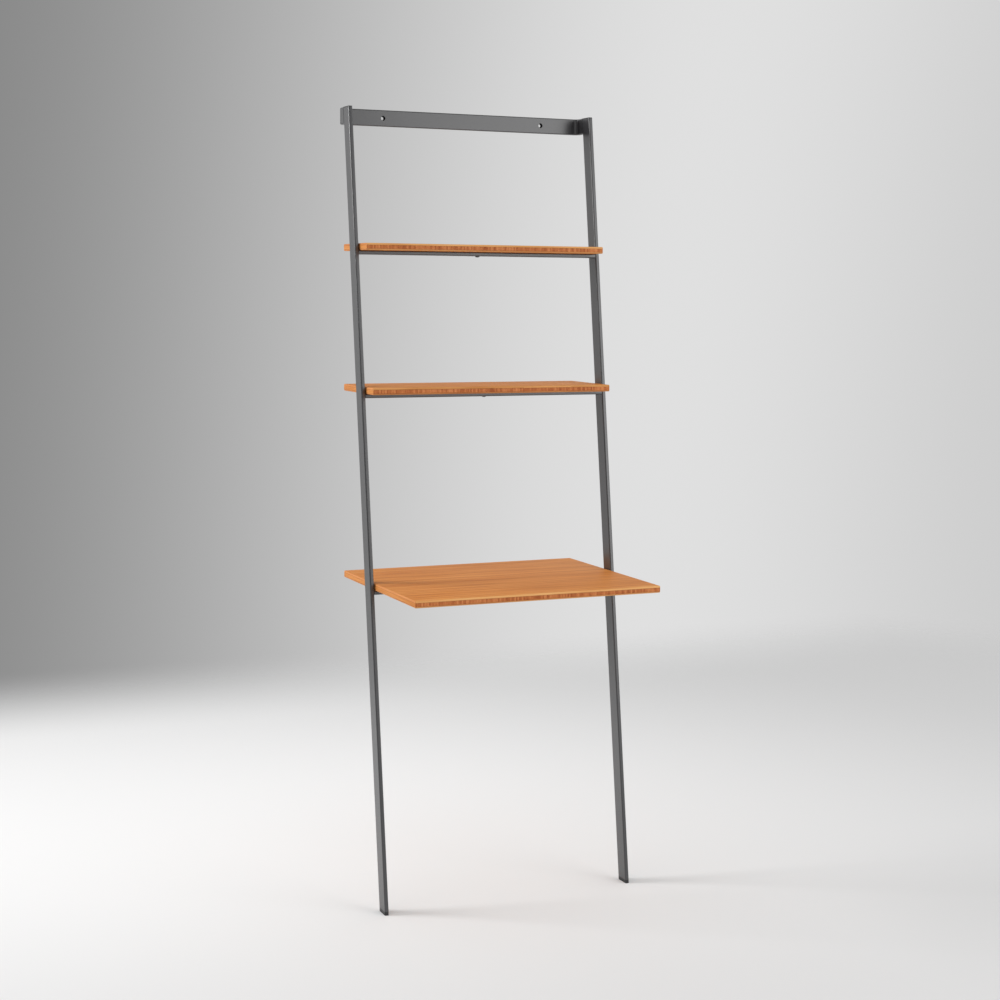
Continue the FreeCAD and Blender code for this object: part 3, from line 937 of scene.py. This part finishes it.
@dataclass(frozen=True)
class Backdrop:
    """Even light from all round, and the graded backdrop that the eye and reflections see.

    The greys stand at even steps of the grading, which goes from 0 at the desk's right to 1 at
    its left, and a little further left the higher up.
    """

    ambient: float = 0.72
    leftwards: Triple = (-1.0, 0.0, 0.10)
    first_stop: float = 0.10
    stop_spacing: float = 0.08
    greys: tuple[float, ...] = (0.64, 0.55, 0.85, 0.51, 0.24, 0.20, 0.45, 0.88, 0.50, 0.18, 0.20)
    seen_by: tuple[str, ...] = ("Is Camera Ray", "Is Glossy Ray", "Is Transmission Ray")

    def build(self) -> bpy.types.World:
        """Makes the world.

        Returns:
            The world, in use by the scene.
        """
        world = bpy.data.worlds.new("studio_world")
        bpy.context.scene.world = world
        world.use_nodes = True
        world.node_tree.nodes.clear()
        graph = Graph(world.node_tree)
        even = graph.add("ShaderNodeBackground")
        graph.feed(even.inputs["Color"], WHITE)
        graph.feed(even.inputs["Strength"], self.ambient)
        seen = graph.add("ShaderNodeBackground")
        graph.feed(seen.inputs["Color"], self.grading(graph))
        mix = graph.add("ShaderNodeMixShader")
        for socket, value in zip(mix.inputs, (self.sees(graph), even.outputs[0], seen.outputs[0])):
            graph.feed(socket, value)
        graph.feed(graph.add("ShaderNodeOutputWorld").inputs["Surface"], mix.outputs[0])
        return world

    def grading(self, graph: Graph) -> bpy.types.NodeSocket:
        """Grades the backdrop from side to side.

        Args:
            graph: The world's nodes.

        Returns:
            The socket that holds the backdrop's grey.
        """
        way = graph.add("ShaderNodeTexCoord").outputs["Generated"]
        across = graph.vector("DOT_PRODUCT", way, self.leftwards, result="Value")
        stops = [(self.first_stop + step * self.stop_spacing, (grey,) * 3)
                 for step, grey in enumerate(self.greys)]
        return graph.blend(graph.number("MULTIPLY_ADD", across, 0.5, 0.5), stops, Curve.SMOOTH)

    def sees(self, graph: Graph) -> bpy.types.NodeSocket:
        """Tells the rays that see the grading from those that only gather light.

        Args:
            graph: The world's nodes.

        Returns:
            The socket that holds 1 for a ray that sees it.
        """
        path = graph.add("ShaderNodeLightPath")
        seen = 0.0
        for ray in self.seen_by:
            seen = graph.number("MAXIMUM", path.outputs[ray], seen)
        return seen


@dataclass(frozen=True)
class Floor:
    """A pale floor with a wide pool of light painted into its grey, which fades out round the
    desk.

    Attributes:
        half: Half its side.
        greys: Its painted grey in the middle of the pool of light and outside it.
        pool: The middle of the pool.
        painted_pool_squeeze: How much narrower the pool is from front to back than from side to
            side.
        painted_pool_reach: How far from its middle the pool starts to darken, and where it ends.
        fade: How far out the floor starts to fade, and where it is gone.
        slack: How much further it reaches to the sides and the front than to the back.
    """

    half: float = 12.0
    greys: tuple[float, float] = (0.905, 0.72)
    pool: Triple = (-0.09, 0.68, 0.0)
    painted_pool_squeeze: float = 1.26
    painted_pool_reach: tuple[float, float] = (0.1, 2.65)
    fade: tuple[float, float] = (1.85, 2.98)
    slack: float = 1.3
    roughness: float = 0.9
    shine: float = 0.1

    def build(self) -> bpy.types.Object:
        """Lays the floor.

        Returns:
            The floor, marked as no part of the desk.
        """
        bpy.ops.mesh.primitive_plane_add(size=2 * self.half)
        floor = bpy.context.object
        floor.name = "studio_floor"
        shading = Shading("studio_floor")
        shading.set(base_color=self.grading(shading), alpha=self.fading(shading),
                    roughness=self.roughness, specular_ior_level=self.shine)
        floor.data.materials.append(shading.material)
        return floor

    def grading(self, shading: Shading) -> bpy.types.NodeSocket:
        """Paints a pool of light into the floor: darkens its grey slowly away from the middle of
        the pool.

        Args:
            shading: The floor's shading.

        Returns:
            The socket that holds the floor's grey, with the painted pool of light in it.
        """
        # Painted light: the floor's grey falls off like lamp light away from the middle of the
        # pool.
        offset = shading.vector("SUBTRACT", shading.place, self.pool)
        squeezed = shading.vector("MULTIPLY", offset, (1.0, self.painted_pool_squeeze, 1.0))
        away = shading.vector("LENGTH", squeezed, result="Value")
        return shading.ease(away, self.painted_pool_reach, self.greys)

    def fading(self, shading: Shading) -> bpy.types.NodeSocket:
        """Lets the floor end softly, first behind the desk.

        Args:
            shading: The floor's shading.

        Returns:
            The socket that holds how solid the floor is.
        """
        reach = shading.vector("LENGTH", shading.place, result="Value")
        around = shading.number("SUBTRACT", reach, self.slack)
        outwards = shading.number("MAXIMUM", shading.split(shading.place)[1], around)
        return shading.ease(outwards, self.fade, (1.0, 0.0))


@dataclass(frozen=True)
class Camera:
    """The camera at the front left, a little above the middle shelf.

    Attributes:
        place: Where it stands.
        yaw: How far it looks to the right of the wall's direction, in degrees.
        pitch: How far it looks up, in degrees.
        roll: How far it leans, in degrees.
        lens: Its focal length in millimetres.
        sensor: Its sensor's width in millimetres.
        shift_y: How far the lens is shifted up, as a share of the picture.
    """

    place: Triple = (-1.7078, -3.9203, 1.4096)
    yaw: float = 23.568
    pitch: float = -5.967
    roll: float = 0.437
    lens: float = 66.674
    sensor: float = 36.0
    shift_y: float = -0.015

    def build(self) -> bpy.types.Object:
        """Sets the camera up.

        Returns:
            The camera, in use by the scene.
        """
        yaw, pitch, roll = map(radians, (self.yaw, self.pitch, self.roll))
        ahead = Vector((sin(yaw) * cos(pitch), cos(yaw) * cos(pitch), sin(pitch)))
        level = Vector((cos(yaw), -sin(yaw), 0))
        right = level * cos(roll) + level.cross(ahead) * sin(roll)
        data = bpy.data.cameras.new("camera")
        data.lens = self.lens
        data.sensor_width = self.sensor
        data.shift_y = self.shift_y
        camera = bpy.data.objects.new("camera", data)
        bpy.context.scene.collection.objects.link(camera)
        turned = Matrix((right, right.cross(ahead), -ahead)).transposed().to_4x4()
        turned.translation = Vector(self.place)
        camera.matrix_world = turned
        bpy.context.scene.camera = camera
        return camera


@dataclass(frozen=True)
class Studio:
    """The floor, the backdrop, two soft lamps and the camera."""

    floor: Floor = Floor()
    backdrop: Backdrop = Backdrop()
    lamps: tuple[Softbox, ...] = (
        Softbox("left_softbox", (-4.07, 1.81, 2.67), (0.0, 0.0, 0.4), (1.7, 1.5), 11.5),
        Softbox("front_right_softbox", (2.0, -2.9, 1.8), (0.1, 0.1, 1.2), (2.35, 2.25), 1.45),
    )
    camera: Camera = Camera()

    def build(self) -> None:
        """Sets the studio up round the desk."""
        self.floor.build()
        self.backdrop.build()
        for lamp in self.lamps:
            lamp.build()
        self.camera.build()
        bpy.context.scene.view_settings.view_transform = "Standard"


def main() -> None:
    logging.basicConfig(level=logging.INFO, format="%(name)s: %(message)s")
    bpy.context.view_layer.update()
    finishes = {bamboo.cut: bamboo.material() for bamboo in BAMBOO}
    for shelf in SHELVES:
        Board(shelf, finishes).build()
    SteelFrame(PowderCoat().material()).build()
    LegEnds(PLASTIC.material(), RUBBER.material()).build()
    Fasteners(BLACK_OXIDE.material(), TurnedBrass().material()).build()
    Studio().build()


if __name__ == "__main__":
    main()
